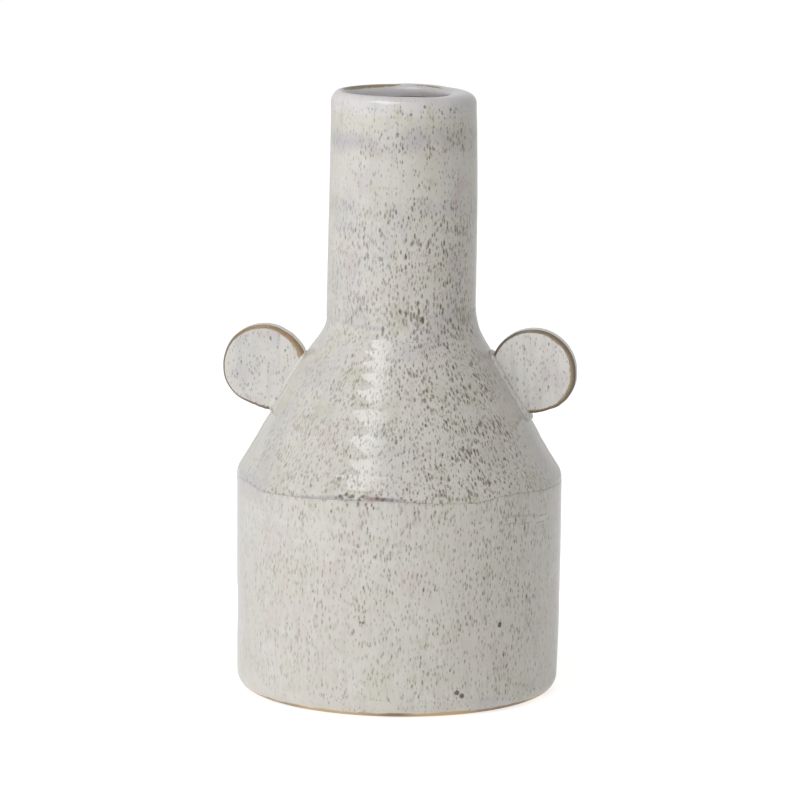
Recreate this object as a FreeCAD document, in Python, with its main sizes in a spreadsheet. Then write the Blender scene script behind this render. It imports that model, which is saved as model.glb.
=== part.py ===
import FreeCAD, Part
import math
import os
import Sketcher

# Stoneware bottle vase: straight body, conical shoulder, narrow neck with a thick lip, and two disc ears.
# It is made up from the separate pieces of clay that a potter lutes together.
# Frame: origin at the centre of the foot's resting face, Z up, front towards -Y, ears along X. Millimetres.

doc = FreeCAD.newDocument("bottle_vase")

# Driving dimensions: name, value in millimetres, what it measures.
dimensions = [
    ("total_height", 250.0, "resting face to the top of the lip"),
    ("base_radius", 67.0, "outside of the foot and of the wall's base"),
    ("foot_height", 7.5, "foot ring, resting face to the floor slab"),
    ("foot_width", 13.0, "foot ring, outside to inside"),
    ("foot_band", 1.0, "upright band of the foot ring over its rounding"),
    ("foot_inner_round", 1.5, "rounding at the inside of the resting face"),
    ("floor_thickness", 7.0, "floor slab"),
    ("wall_thickness", 6.5, "lower wall at its base"),
    ("shoulder_height", 91.6, "resting face to the corner between wall and shoulder"),
    ("shoulder_swell", 0.6, "how much wider the body is at that corner than at its base"),
    ("seam_drop", 2.6, "that corner down to the seam between wall and shoulder"),
    ("shoulder_edge", 3.0, "height of the shoulder's inner edge above the seam"),
    ("neck_base_height", 154.0, "resting face to the neck's seam"),
    ("neck_base_radius", 31.1, "outside of the neck at its seam"),
    ("neck_taper", 1.1, "how much narrower the neck is under the lip"),
    ("neck_wall", 6.5, "neck tube at its seam"),
    ("lip_height", 8.0, "lip coil, neck tube to top"),
    ("lip_overhang", 3.2, "lip coil, how far it stands into the neck's bore"),
    ("floor_coil_leg", 5.0, "floor seam coil, up the wall and along the floor"),
    ("shoulder_coil_leg", 5.0, "shoulder seam coil, above and below the seam"),
    ("shoulder_coil_depth", 3.0, "shoulder seam coil, how far it stands into the vase"),
    ("neck_coil_leg", 5.0, "neck seam coil, up the neck and down the shoulder"),
    ("left_ear_radius", 17.1, "left ear disc"),
    ("left_ear_drop", 30.7, "neck's seam to the left ear's centre, along the shoulder's slope"),
    ("left_ear_stand", 12.2, "shoulder's slope to the left ear's centre, square to the slope"),
    ("right_ear_radius", 17.9, "right ear disc"),
    ("right_ear_drop", 29.0, "neck's seam to the right ear's centre, along the shoulder's slope"),
    ("right_ear_stand", 11.4, "shoulder's slope to the right ear's centre, square to the slope"),
    ("ear_thickness", 7.5, "ear discs"),
    ("ear_round", 2.2, "rounding of an ear's rim"),
    ("ear_coil_radius", 2.2, "coil round the ear's root"),
    ("ear_coil_lift", 0.8, "shoulder's slope to the middle of that coil"),
]

# Roundings as shares of the most that the clay there can carry.
shoulder_round_share = 0.73
lip_outer_round_share = 0.5
lip_inner_round_share = 0.45
floor_coil_round_share = 0.8

# Sizes that follow from the driving ones: name, formula, what it measures.
derived_sizes = [
    ("inner_radius", "Sizes.base_radius - Sizes.wall_thickness", "inside of the lower wall"),
    ("floor_top", "Sizes.foot_height + Sizes.floor_thickness", "resting face to the inside floor"),
    ("seam_height", "Sizes.shoulder_height - Sizes.seam_drop", "resting face to the shoulder's seam"),
    ("shoulder_rise", "Sizes.neck_base_height - Sizes.shoulder_height", "height of the sloping shoulder"),
    ("shoulder_radius", "Sizes.base_radius + Sizes.shoulder_swell", "outside of the body at the shoulder"),
    ("shoulder_run", "shoulder_radius - Sizes.neck_base_radius", "inward run of the sloping shoulder"),
    ("slope_length", "sqrt(shoulder_rise^2 + shoulder_run^2)", "length of the sloping shoulder"),
    ("shoulder_turn", "atan2(shoulder_run; shoulder_rise)", "angle between wall and sloping shoulder"),
    ("shoulder_round", f"{shoulder_round_share} * Sizes.seam_drop / tan(shoulder_turn / 2)",
     "rounding of the shoulder's corner"),
    ("foot_round", "Sizes.foot_height - Sizes.foot_band", "rounding under the outside of the foot"),
    ("neck_top_radius", "Sizes.neck_base_radius - Sizes.neck_taper", "outside of the neck under the lip"),
    ("neck_inner_radius", "Sizes.neck_base_radius - Sizes.neck_wall", "inside of the neck"),
    ("neck_length", "Sizes.total_height - Sizes.lip_height - Sizes.neck_base_height", "neck tube"),
    ("mouth_radius", "neck_inner_radius - Sizes.lip_overhang", "mouth of the vase"),
    ("lip_size", "min(Sizes.lip_height; neck_top_radius - mouth_radius)",
     "lesser of the lip's height and width"),
    ("lip_outer_round", f"{lip_outer_round_share} * lip_size", "rounding at the outside of the lip"),
    ("lip_inner_round", f"{lip_inner_round_share} * lip_size", "rounding at the mouth"),
    ("floor_coil_round", f"{floor_coil_round_share} * Sizes.floor_coil_leg",
     "rounding of the floor seam coil"),
]


def ear_sizes(side):
    """Derived sizes of one ear and its coil."""
    root_radius = f"{side}_ear_root_radius"
    root_height = f"{side}_ear_root_height"
    root_half = f"{side}_ear_root_half"
    drop = f"Sizes.{side}_ear_drop"
    stand = f"Sizes.{side}_ear_stand"
    lift = "Sizes.ear_coil_lift"
    outward = "shoulder_rise / slope_length"
    upward = "shoulder_run / slope_length"
    return [
        (root_radius, f"Sizes.neck_base_radius + {drop} * {upward}", "axis to the middle of the root"),
        (root_height, f"Sizes.neck_base_height - {drop} * {outward}", "height of the root's middle"),
        (root_half, f"sqrt(Sizes.{side}_ear_radius^2 - {stand}^2)", "half the length of the ear's root"),
        (f"{side}_ear_centre_radius", f"{root_radius} + {stand} * {outward}", "axis to the ear's centre"),
        (f"{side}_ear_centre_height", f"{root_height} + {stand} * {upward}", "height of the ear's centre"),
        (f"{side}_coil_centre_radius", f"{root_radius} + {lift} * {outward}", "axis to the coil's middle"),
        (f"{side}_coil_centre_height", f"{root_height} + {lift} * {upward}", "height of the coil's middle"),
        (f"{side}_coil_reach", f"{root_half} - Sizes.ear_thickness / 2", "root's middle to the coil's turn"),
    ]


def fill_sheet(name, rows, is_formula):
    """Makes a spreadsheet of named cells, one row each: name, content, note."""
    sheet = doc.addObject("Spreadsheet::Sheet", name)
    for row, (alias, content, note) in enumerate(rows, start=1):
        sheet.set(f"A{row}", alias)
        sheet.set(f"B{row}", f"={content}" if is_formula else str(content))
        sheet.set(f"C{row}", note)
        sheet.setAlias(f"B{row}", alias)
    doc.recompute()
    return sheet


sizes = fill_sheet("Sizes", dimensions, False)
fill_sheet("Derived", derived_sizes + ear_sizes("left") + ear_sizes("right"), True)


def read(expression):
    """The number that an expression of the sheets gives now."""
    return float(sizes.evalExpression(expression))


def bind(item, **expressions):
    """Ties properties to expressions; a double underscore in a name stands for a dot."""
    for name, expression in expressions.items():
        item.setExpression(name.replace("__", "."), expression)


def sketch_on(body, role, name):
    """A sketch on one of the body's own origin planes."""
    sketch = body.newObject("Sketcher::SketchObject", name)
    plane = next(item for item in body.Origin.OriginFeatures if item.Role == role)
    sketch.AttachmentSupport = (plane, [""])
    sketch.MapMode = "FlatFace"
    sketch.Visibility = False
    return sketch


def place_point(sketch, geometry, end, radius, height):
    """Holds a point at a radius and a height given by expressions."""
    for kind, axis, expression in (("DistanceX", -2, radius), ("DistanceY", -1, height)):
        if expression == "0":
            sketch.addConstraint(Sketcher.Constraint("PointOnObject", geometry, end, axis))
            continue
        number = sketch.addConstraint(
            Sketcher.Constraint(kind, -1, 1, geometry, end, read(expression)))
        sketch.setExpression(f"Constraints[{number}]", expression)


def draw_outline(sketch, corners):
    """Draws a closed outline, anticlockwise, from corners: radius, height and, if rounded, the rounding."""
    count = len(corners)
    points = [FreeCAD.Vector(read(corner[0]), read(corner[1]), 0) for corner in corners]
    starts = []
    ends = []
    arcs = []
    for index, point in enumerate(points):
        back = (points[index - 1] - point).normalize()
        ahead = (points[(index + 1) % count] - point).normalize()
        half_angle = back.getAngle(ahead) / 2
        rounding = read(corners[index][2]) if len(corners[index]) > 2 else 0
        trim = rounding / math.tan(half_angle)
        ends.append(point + back * trim)
        starts.append(point + ahead * trim)
        centre = point + (back + ahead).normalize() * (rounding / math.sin(half_angle))
        arcs.append((rounding, centre, ahead.cross(back).z > 0))
    for index in range(count):
        sketch.addGeometry(Part.LineSegment(starts[index], ends[(index + 1) % count]), False)
    for index, (rounding, centre, turns_left) in enumerate(arcs):
        before = (index - 1) % count
        if not rounding:
            sketch.addConstraint(Sketcher.Constraint("Coincident", before, 2, index, 1))
            place_point(sketch, index, 1, *corners[index][:2])
            continue
        arc_ends = [ends[index], starts[index]] if turns_left else [starts[index], ends[index]]
        angles = [math.atan2(tip.y - centre.y, tip.x - centre.x) for tip in arc_ends]
        circle = Part.Circle(centre, FreeCAD.Vector(0, 0, 1), rounding)
        arc = sketch.addGeometry(Part.ArcOfCircle(circle, *angles), False)
        corner = sketch.addGeometry(Part.Point(points[index]), True)
        first, second = (1, 2) if turns_left else (2, 1)
        sketch.addConstraint(Sketcher.Constraint("Tangent", before, 2, arc, first))
        sketch.addConstraint(Sketcher.Constraint("Tangent", index, 1, arc, second))
        sketch.addConstraint(Sketcher.Constraint("PointOnObject", corner, 1, before))
        sketch.addConstraint(Sketcher.Constraint("PointOnObject", corner, 1, index))
        place_point(sketch, corner, 1, *corners[index][:2])
        number = sketch.addConstraint(Sketcher.Constraint("Radius", arc, rounding))
        sketch.setExpression(f"Constraints[{number}]", corners[index][2])


def turned_piece(label, seat, corners):
    """A piece turned about the vase's axis, standing at the height of its seat."""
    body = doc.addObject("PartDesign::Body", label)
    body.Label = label
    sketch = sketch_on(body, "XZ_Plane", f"{label}_outline")
    draw_outline(sketch, corners)
    turning = body.newObject("PartDesign::Revolution", f"{label}_turning")
    turning.Profile = sketch
    turning.ReferenceAxis = (sketch, ["V_Axis"])
    turning.Angle = 360.0
    if seat != "0":
        bind(body, Placement__Base__z=seat)
    return body


def foot_ring():
    """Bare foot: the vase stands on it, and it carries the floor slab and the wall."""
    inside = "Sizes.base_radius - Sizes.foot_width"
    return turned_piece("foot_ring", "0", [
        (inside, "0", "Sizes.foot_inner_round"),
        ("Sizes.base_radius", "0", "Derived.foot_round"),
        ("Sizes.base_radius", "Sizes.foot_height"),
        (inside, "Sizes.foot_height"),
    ])


def floor_slab():
    """Round slab that closes the bottom, inside the wall and on the foot ring."""
    return turned_piece("floor_slab", "Sizes.foot_height", [
        ("0", "0"),
        ("Derived.inner_radius", "0"),
        ("Derived.inner_radius", "Sizes.floor_thickness"),
        ("0", "Sizes.floor_thickness"),
    ])


def lower_wall():
    """Nearly straight cylinder from the foot ring up to the shoulder's seam."""
    wall_height = "Derived.seam_height - Sizes.foot_height"
    return turned_piece("lower_wall", "Sizes.foot_height", [
        ("Derived.inner_radius", "0"),
        ("Sizes.base_radius", "0"),
        ("Derived.shoulder_radius", wall_height),
        ("Derived.inner_radius", wall_height),
    ])


def shoulder_cone():
    """Cone that closes the body in to the neck; its lower edge shows as a narrow band over the seam."""
    top = "Sizes.neck_base_height - Derived.seam_height"
    return turned_piece("shoulder_cone", "Derived.seam_height", [
        ("Derived.inner_radius", "0"),
        ("Derived.shoulder_radius", "0"),
        ("Derived.shoulder_radius", "Sizes.seam_drop", "Derived.shoulder_round"),
        ("Sizes.neck_base_radius", top),
        ("Derived.neck_inner_radius", top),
        ("Derived.inner_radius", "Sizes.shoulder_edge"),
    ])


def neck_tube():
    """Neck, a little narrower at its top."""
    return turned_piece("neck_tube", "Sizes.neck_base_height", [
        ("Derived.neck_inner_radius", "0"),
        ("Sizes.neck_base_radius", "0"),
        ("Derived.neck_top_radius", "Derived.neck_length"),
        ("Derived.neck_inner_radius", "Derived.neck_length"),
    ])


def lip_coil():
    """Thick rounded lip, which narrows the mouth to less than the neck's bore."""
    return turned_piece("lip_coil", "Sizes.total_height - Sizes.lip_height", [
        ("Derived.neck_inner_radius", "0"),
        ("Derived.neck_top_radius", "0"),
        ("Derived.neck_top_radius", "Sizes.lip_height", "Derived.lip_outer_round"),
        ("Derived.mouth_radius", "Sizes.lip_height", "Derived.lip_inner_round"),
        ("Derived.mouth_radius", "Sizes.lip_overhang"),
    ])


def floor_seam_coil():
    """Coil pressed into the inside corner between floor and wall."""
    inner_edge = "Derived.inner_radius - Sizes.floor_coil_leg"
    return turned_piece("floor_seam_coil", "Derived.floor_top", [
        (inner_edge, "0"),
        ("Derived.inner_radius", "0"),
        ("Derived.inner_radius", "Sizes.floor_coil_leg"),
        (inner_edge, "Sizes.floor_coil_leg", "Derived.floor_coil_round"),
    ])


def shoulder_seam_coil():
    """Coil pressed over the seam between wall and shoulder, on the inside."""
    cone_run = "(Derived.inner_radius - Derived.neck_inner_radius)"
    cone_rise = "(Sizes.neck_base_height - Derived.seam_height - Sizes.shoulder_edge)"
    return turned_piece("shoulder_seam_coil", "Derived.seam_height", [
        ("Derived.inner_radius", "0 - Sizes.shoulder_coil_leg"),
        ("Derived.inner_radius", "Sizes.shoulder_edge"),
        (f"Derived.inner_radius - Sizes.shoulder_coil_leg * {cone_run} / {cone_rise}",
         "Sizes.shoulder_edge + Sizes.shoulder_coil_leg"),
        ("Derived.inner_radius - Sizes.shoulder_coil_depth", "0"),
    ])


def neck_seam_coil():
    """Coil worked into the outside corner between shoulder and neck."""
    return turned_piece("neck_seam_coil", "Sizes.neck_base_height", [
        ("Sizes.neck_base_radius", "0"),
        ("Sizes.neck_base_radius + Sizes.neck_coil_leg * Derived.shoulder_run / Derived.shoulder_rise",
         "0 - Sizes.neck_coil_leg"),
        ("Sizes.neck_base_radius - Sizes.neck_coil_leg * Sizes.neck_taper / Derived.neck_length",
         "Sizes.neck_coil_leg"),
    ])


def shoulder_core():
    """The space under the shoulder's sloping face, which ears and coils are cut back to."""
    core = doc.addObject("Part::Cone", "shoulder_core")
    bind(core, Radius1="Derived.shoulder_radius", Radius2="Sizes.neck_base_radius",
         Height="Derived.shoulder_rise", Placement__Base__z="Sizes.shoulder_height")
    return core


def ear(side, sign, core):
    """Upright disc that stands on the shoulder's slope, in the plane of the vase's axis."""
    disc = doc.addObject("PartDesign::Body", f"{side}_ear_disc")
    sketch = sketch_on(disc, "XZ_Plane", f"{side}_ear_outline")
    radius = f"Sizes.{side}_ear_radius"
    circle = sketch.addGeometry(
        Part.Circle(FreeCAD.Vector(), FreeCAD.Vector(0, 0, 1), read(radius)), False)
    sketch.addConstraint(Sketcher.Constraint("Coincident", circle, 3, -1, 1))
    number = sketch.addConstraint(Sketcher.Constraint("Radius", circle, read(radius)))
    sketch.setExpression(f"Constraints[{number}]", radius)
    pad = disc.newObject("PartDesign::Pad", f"{side}_ear_pad")
    pad.Profile = sketch
    pad.SideType = "Symmetric"
    bind(pad, Length="Sizes.ear_thickness")
    doc.recompute()
    rims = [f"Edge{number}" for number, edge in enumerate(pad.Shape.Edges, start=1)
            if isinstance(edge.Curve, Part.Circle)]
    rounding = disc.newObject("PartDesign::Fillet", f"{side}_ear_rounding")
    rounding.Base = (pad, rims)
    bind(rounding, Radius="Sizes.ear_round")
    bind(disc, Placement__Base__x=f"{sign} * Derived.{side}_ear_centre_radius",
         Placement__Base__z=f"Derived.{side}_ear_centre_height")
    seated = doc.addObject("Part::Cut", f"{side}_ear")
    seated.Label = f"{side}_ear"
    seated.Base = disc
    seated.Tool = core
    return seated


def ear_coil(side, sign, core, seated_ear):
    """Round coil laid about the ear's root, cut back to the shoulder and to the ear."""
    reach = f"Derived.{side}_coil_reach"
    strands = []
    for turn in (-1, 1):
        rod = doc.addObject("Part::Cylinder", f"{side}_coil_rod")
        bind(rod, Radius="Sizes.ear_coil_radius", Height=f"2 * {reach}",
             Placement__Base__x=f"0 - {reach}",
             Placement__Base__y=f"{turn} * Sizes.ear_thickness / 2")
        rod.Placement.Rotation = FreeCAD.Rotation(FreeCAD.Vector(0, 1, 0), 90)
        bend = doc.addObject("Part::Torus", f"{side}_coil_bend")
        bind(bend, Radius1="Sizes.ear_thickness / 2", Radius2="Sizes.ear_coil_radius",
             Placement__Base__x=f"{turn} * {reach}")
        bend.Angle3 = 180
        bend.Placement.Rotation = FreeCAD.Rotation(FreeCAD.Vector(0, 0, 1), -90 * turn)
        strands += [rod, bend]
    rope = doc.addObject("Part::MultiFuse", f"{side}_coil_rope")
    rope.Shapes = strands
    rope.Placement.Rotation = FreeCAD.Rotation(FreeCAD.Vector(0, 1, 0), 45)
    bind(rope, Placement__Base__x=f"{sign} * Derived.{side}_coil_centre_radius",
         Placement__Base__z=f"Derived.{side}_coil_centre_height",
         Placement__Rotation__Angle=f"atan2(Derived.shoulder_rise; {sign} * Derived.shoulder_run)")
    laid = doc.addObject("Part::Cut", f"{side}_coil_on_shoulder")
    laid.Base = rope
    laid.Tool = core
    coil = doc.addObject("Part::Cut", f"{side}_ear_coil")
    coil.Label = f"{side}_ear_coil"
    coil.Base = laid
    coil.Tool = seated_ear
    return coil


def check(pieces):
    """Stops if any object failed to compute or any piece is not one sound solid."""
    for item in doc.Objects:
        if {"Invalid", "Error"} & set(item.State):
            raise RuntimeError(f"{item.Label} failed: {item.State}")
    for piece in pieces:
        if piece.Shape.isNull() or not piece.Shape.isValid():
            raise RuntimeError(f"{piece.Label} has no valid shape")
        print(piece.Label, len(piece.Shape.Solids), "solid,", round(piece.Shape.Volume / 1000, 2), "cm3")


core = shoulder_core()
pieces = [
    foot_ring(),
    floor_slab(),
    lower_wall(),
    shoulder_cone(),
    neck_tube(),
    lip_coil(),
    floor_seam_coil(),
    shoulder_seam_coil(),
    neck_seam_coil(),
]
for side, sign in (("left", -1), ("right", 1)):
    seated_ear = ear(side, sign, core)
    pieces += [seated_ear, ear_coil(side, sign, core, seated_ear)]
doc.recompute()
check(pieces)

os.makedirs("parts", exist_ok=True)
for piece in pieces:
    piece.Shape.exportStep(f"parts/{piece.Label}.step")
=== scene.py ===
import math
import bmesh
import bpy
from mathutils import Matrix, Vector, noise


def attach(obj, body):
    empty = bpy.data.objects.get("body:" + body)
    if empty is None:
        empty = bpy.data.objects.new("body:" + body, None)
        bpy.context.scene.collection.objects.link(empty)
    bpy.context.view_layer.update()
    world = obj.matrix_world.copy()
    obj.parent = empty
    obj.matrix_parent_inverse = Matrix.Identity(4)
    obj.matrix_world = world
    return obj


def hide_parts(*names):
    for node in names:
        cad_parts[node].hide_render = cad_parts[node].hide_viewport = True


# Stoneware bottle vase with a speckled glaze. Lengths are millimetres until a piece is placed.
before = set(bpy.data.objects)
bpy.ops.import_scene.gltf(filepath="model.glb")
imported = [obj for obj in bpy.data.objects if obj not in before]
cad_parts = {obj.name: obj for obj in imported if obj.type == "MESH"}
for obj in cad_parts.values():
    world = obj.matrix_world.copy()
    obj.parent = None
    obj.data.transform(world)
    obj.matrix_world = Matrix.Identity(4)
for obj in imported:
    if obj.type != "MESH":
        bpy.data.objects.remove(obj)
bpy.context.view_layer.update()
mm = 0.001


# Camera, fitted to the outline of the vase in the photo
photoCamera = {
    "side": 8.0,         # degrees from the front towards the right ear
    "distance": 1923.1,
    "height": 429.3,
    "dip": 9.1215,       # degrees down
    "roll": 0.7105,      # the vase leans a little to the right in the picture
    "lens": 211.2,
    "sensor": 36.0,
    "frame": 800,        # pixels across and down
    "sight": 40.0,       # metres, past the far edge of the floor
    "tries": 20,         # rounds in which the surface under a pixel is found
}


def cameraTurn():
    turn = Matrix.Rotation(math.radians(photoCamera["side"]), 3, "Z")
    dip = Matrix.Rotation(math.radians(90 - photoCamera["dip"]), 3, "X")
    return turn @ dip @ Matrix.Rotation(math.radians(photoCamera["roll"]), 3, "Z")


def cameraPlace():
    side = math.radians(photoCamera["side"])
    return Vector((math.sin(side) * photoCamera["distance"], -math.cos(side) * photoCamera["distance"],
                   photoCamera["height"]))


cameraData = bpy.data.cameras.new("photoCamera")
cameraData.lens = photoCamera["lens"]
cameraData.sensor_width = photoCamera["sensor"]
cameraData.clip_end = photoCamera["sight"]
cameraObject = bpy.data.objects.new("photoCamera", cameraData)
cameraObject.matrix_world = Matrix.LocRotScale(cameraPlace() * mm, cameraTurn().to_quaternion(), None)
bpy.context.scene.collection.objects.link(cameraObject)
bpy.context.scene.camera = cameraObject
bpy.context.scene.view_settings.view_transform = "Standard"
print("camera placed")


# Outline of the turned body, as in the CAD model
body = {
    "footHeight": 7.5,
    "footWidth": 13.0,
    "footRound": 6.5,
    "footInnerRound": 1.5,
    "floorTop": 14.5,
    "baseRadius": 67.0,
    "innerRadius": 60.5,
    "seamHeight": 89.0,
    "shoulderHeight": 91.6,
    "shoulderRadius": 67.6,
    "shoulderRound": 6.3,
    "shoulderInnerEdge": 92.0,
    "neckSeamHeight": 154.0,
    "neckSeamRadius": 31.1,
    "neckInnerRadius": 24.6,
    "lipBase": 242.0,
    "neckTopRadius": 30.0,
    "mouthRadius": 21.4,
    "totalHeight": 250.0,
}
slopeRun = body["shoulderRadius"] - body["neckSeamRadius"]
slopeRise = body["neckSeamHeight"] - body["shoulderHeight"]
slopeLength = math.hypot(slopeRun, slopeRise)
slopeDown = Vector((slopeRun / slopeLength, 0, -slopeRise / slopeLength))
slopeOut = Vector((slopeRise / slopeLength, 0, slopeRun / slopeLength))


def between(low, high, value):
    # smooth step from 0 to 1
    share = min(1, max(0, (value - low) / (high - low)))
    return share * share * (3 - 2 * share)


def along(marks, value):
    # value read from a line of marks, each (position, value), in rising order
    for (low, first), (high, second) in zip(marks, marks[1:]):
        if value <= high:
            return first + (second - first) * between(low, high, value)
    return marks[-1][1]


def straight(marks, value):
    # the same with straight lines between the marks
    for (low, first), (high, second) in zip(marks, marks[1:]):
        if value <= high:
            return first + (second - first) * max(0, value - low) / (high - low)
    return marks[-1][1]


def outlineRadius(height):
    marks = ((0, body["baseRadius"]), (body["seamHeight"], body["shoulderRadius"]),
             (body["shoulderHeight"], body["shoulderRadius"]),
             (body["neckSeamHeight"], body["neckSeamRadius"]), (body["totalHeight"], body["neckTopRadius"]))
    return straight(marks, height)


def upTheWall(height):
    # length along the outline, which runs longer than the height on the sloping shoulder
    slope = min(slopeRise, max(0, height - body["shoulderHeight"]))
    return height + slope * (slopeLength / slopeRise - 1)


def photoRay(pixel):
    # camera and direction through a pixel of the 800 by 800 frame
    half = photoCamera["frame"] / 2
    focal = photoCamera["lens"] / photoCamera["sensor"] * photoCamera["frame"]
    ahead = Vector(((pixel[0] - half) / focal, (half - pixel[1]) / focal, -1))
    return cameraPlace(), (cameraTurn() @ ahead).normalized()


def onBody(pixel):
    # angle and height of the body's surface under a pixel
    start, way = photoRay(pixel)
    radius = body["baseRadius"]
    for _ in range(photoCamera["tries"]):
        a = way.x ** 2 + way.y ** 2
        b = start.x * way.x + start.y * way.y
        c = start.x ** 2 + start.y ** 2 - radius ** 2
        reach = (-b - math.sqrt(max(0, b * b - a * c))) / a
        place = start + way * reach
        radius = outlineRadius(place.z)
    return math.atan2(place.y, place.x), place.z


# How the hand left the clay: small departures from the turned outline.
# "often" is how much a noise changes round the axis, "rise" its size up the wall.
clay = {
    "waves": {"amount": 0.16, "often": 1.3, "rise": 45},       # slow swell and dent of the walls
    "ripples": {"amount": 0.05, "often": 0.4, "rise": 3.4, "climb": 9},     # throwing rings on wall and neck
    "ripplesEnd": (80, 92),      # heights between which the rings end under the shoulder
    "ripplesStart": (150, 165),  # and start again on the neck
    "rollMarks": ((380, 350), (382, 362), (375, 373.5), (372, 389), (378, 409), (373, 437.5), (367, 462),
                  (358, 477)),   # pixels in the valleys between the rolls
    "rollSteepness": 0.0165,     # depth of a roll as a share of its pitch
    "rollValley": 0.3,           # share of the pitch that the rounded valley takes
    "rollChange": {"amount": 0.5, "often": 2.1, "rise": 30, "start": 7},    # share by which the depth changes
    "dents": (                   # angle and height in the middle, their half widths, amount
        (8, 101, 75, 15, -0.5),
        (188, 101, 75, 15, -0.25),
        (188, 34, 70, 16, -0.38),
        (8, 26, 70, 20, 0.22),
        (8, 48, 80, 70, 0.55),
        (8, 215, 80, 70, 0.65),
        (188, 149, 55, 9, -1.1),
        (8, 146, 50, 10, -0.5),
    ),
    "seamMarks": ((246.3, 481.7), (262.5, 491.5), (305.9, 498), (338.5, 500), (392.7, 501.8), (427, 503.9),
                  (455, 504.2), (478, 503.2), (502, 496.2), (525, 492.6), (549.7, 488.2)),   # pixels on the seam
    "seamReach": 14,             # how far over and under the seam the clay goes with it
    "seamEnds": (-180, -150, -12, 8),   # angles: it starts to wander, does so in full, eases off, runs level
    "lipReach": (6, 5),          # the lip's own shape starts so far under its seam and is full so far over it
    "lipCalm": 0.6,              # share of the unevenness that rolling the lip took away
    "mouthShift": -3.0,          # mouth towards the left ear
    "frontLow": 0.8,             # front of the lip lower than its back
    "rimLow": ((-180, 0.4), (-120, 0.2), (-80, 0.3), (-40, 0.9), (0, 0.6), (45, 0.5), (70, 0.1), (90, 0.0),
               (105, 0.3), (150, 0.4), (180, 0.4)),      # angle and how much lower the rim is there
}
rollHeights = sorted(onBody(mark)[1] for mark in clay["rollMarks"])
seamDrift = sorted((math.degrees(angle), height - body["seamHeight"])
                   for angle, height in map(onBody, clay["seamMarks"]))
print("seam wanders by", [round(drift, 2) for _, drift in seamDrift])


def rollDepth(height):
    # stacked rounded rolls with tight valleys between them
    valley = clay["rollValley"]
    for low, high in zip(rollHeights, rollHeights[1:]):
        if low <= height <= high:
            pitch = (high - low) * slopeLength / slopeRise
            away = abs(2 * height - low - high) / (high - low)     # 0 on the roll's crown, 1 in the valley
            share = min(1 - valley, away)
            sunk = (away - share) / valley
            dip = share * share + (2 * sunk - sunk * sunk) * valley * (1 - valley)
            return -clay["rollSteepness"] * pitch * dip
    return 0


def roundNoise(swing, often, level):
    # noise that meets itself on the way round the axis
    return noise.noise(Vector((swing.x * often, swing.y * often, level)))


def clayOffset(angle, height):
    swing = Vector((math.cos(angle), math.sin(angle), 0))
    waves, ripples, change = clay["waves"], clay["ripples"], clay["rollChange"]
    slow = roundNoise(swing, waves["often"], height / waves["rise"])
    ring = roundNoise(swing, ripples["often"], height / ripples["rise"] + angle / ripples["climb"])
    onWall = 1 - between(*clay["ripplesEnd"], height) + between(*clay["ripplesStart"], height)
    offset = waves["amount"] * (slow - 1) + ripples["amount"] * (ring - 1) * onWall
    uneven = roundNoise(swing, change["often"], height / change["rise"] + change["start"])
    offset += rollDepth(height) * (1 + change["amount"] * uneven)
    for middle, level, halfTurn, halfHeight, amount in clay["dents"]:
        turn = abs((math.degrees(angle) - middle + 180) % 360 - 180) / halfTurn
        share = math.hypot(turn, (height - level) / halfHeight)
        offset += amount * (1 - between(0, 1, share))
    return offset


def handShape(point):
    # moves a point of the turned outline to where the hand left it
    radius = math.hypot(point.x, point.y)
    angle = math.atan2(point.y, point.x)
    turn = math.degrees(angle)
    height = point.z
    seam, reach = body["seamHeight"], clay["seamReach"]
    nearSeam = between(seam - reach, seam, height) * (1 - between(seam, seam + reach, height))
    start, full, ease, level = clay["seamEnds"]
    onFront = between(start, full, turn) * (1 - between(ease, level, turn))
    under, over = clay["lipReach"]
    inLip = between(body["lipBase"] - under, body["lipBase"] + over, height)
    toRim = between(body["lipBase"], body["totalHeight"], height)
    stretch = clayOffset(angle, height) * min(1, radius / body["neckInnerRadius"])
    stretch *= 1 - clay["lipCalm"] * inLip
    moved = Vector((math.cos(angle), math.sin(angle), 0)) * (radius + stretch)
    moved.z = height + straight(seamDrift, turn) * nearSeam * onFront
    inward = between(body["neckTopRadius"], body["mouthRadius"], radius)
    moved.x += clay["mouthShift"] * inward * toRim
    moved.z -= clay["frontLow"] * inLip * (0.5 - 0.5 * moved.y / body["neckTopRadius"])
    moved.z -= along(clay["rimLow"], turn) * inLip
    return moved


def newPiece(name, shape, material, smoothAngle=35):
    # bmesh in millimetres to a finished object that rides on the vase
    bmesh.ops.scale(shape, vec=(mm, mm, mm), verts=shape.verts[:])
    mesh = bpy.data.meshes.new(name)
    shape.to_mesh(mesh)
    shape.free()
    mesh.polygons.foreach_set("use_smooth", [True] * len(mesh.polygons))
    mesh.set_sharp_from_angle(angle=math.radians(smoothAngle))
    mesh.materials.append(material)
    piece = bpy.data.objects.new(name, mesh)
    bpy.context.scene.collection.objects.link(piece)
    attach(piece, "root")
    return piece


turning = {
    "steps": 288,        # round the axis, the same for every turned piece so that the seams meet
    "roundSteps": 6,     # along a rounding, where a piece doesn't say otherwise
    "roundStep": 9,      # longest step on a rounding's own edges, which are shorter
    "onSide": 0.001,     # how near a side of the outline an edge on it lies
    "weld": 0.004,       # points nearer than this are merged
}


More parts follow.
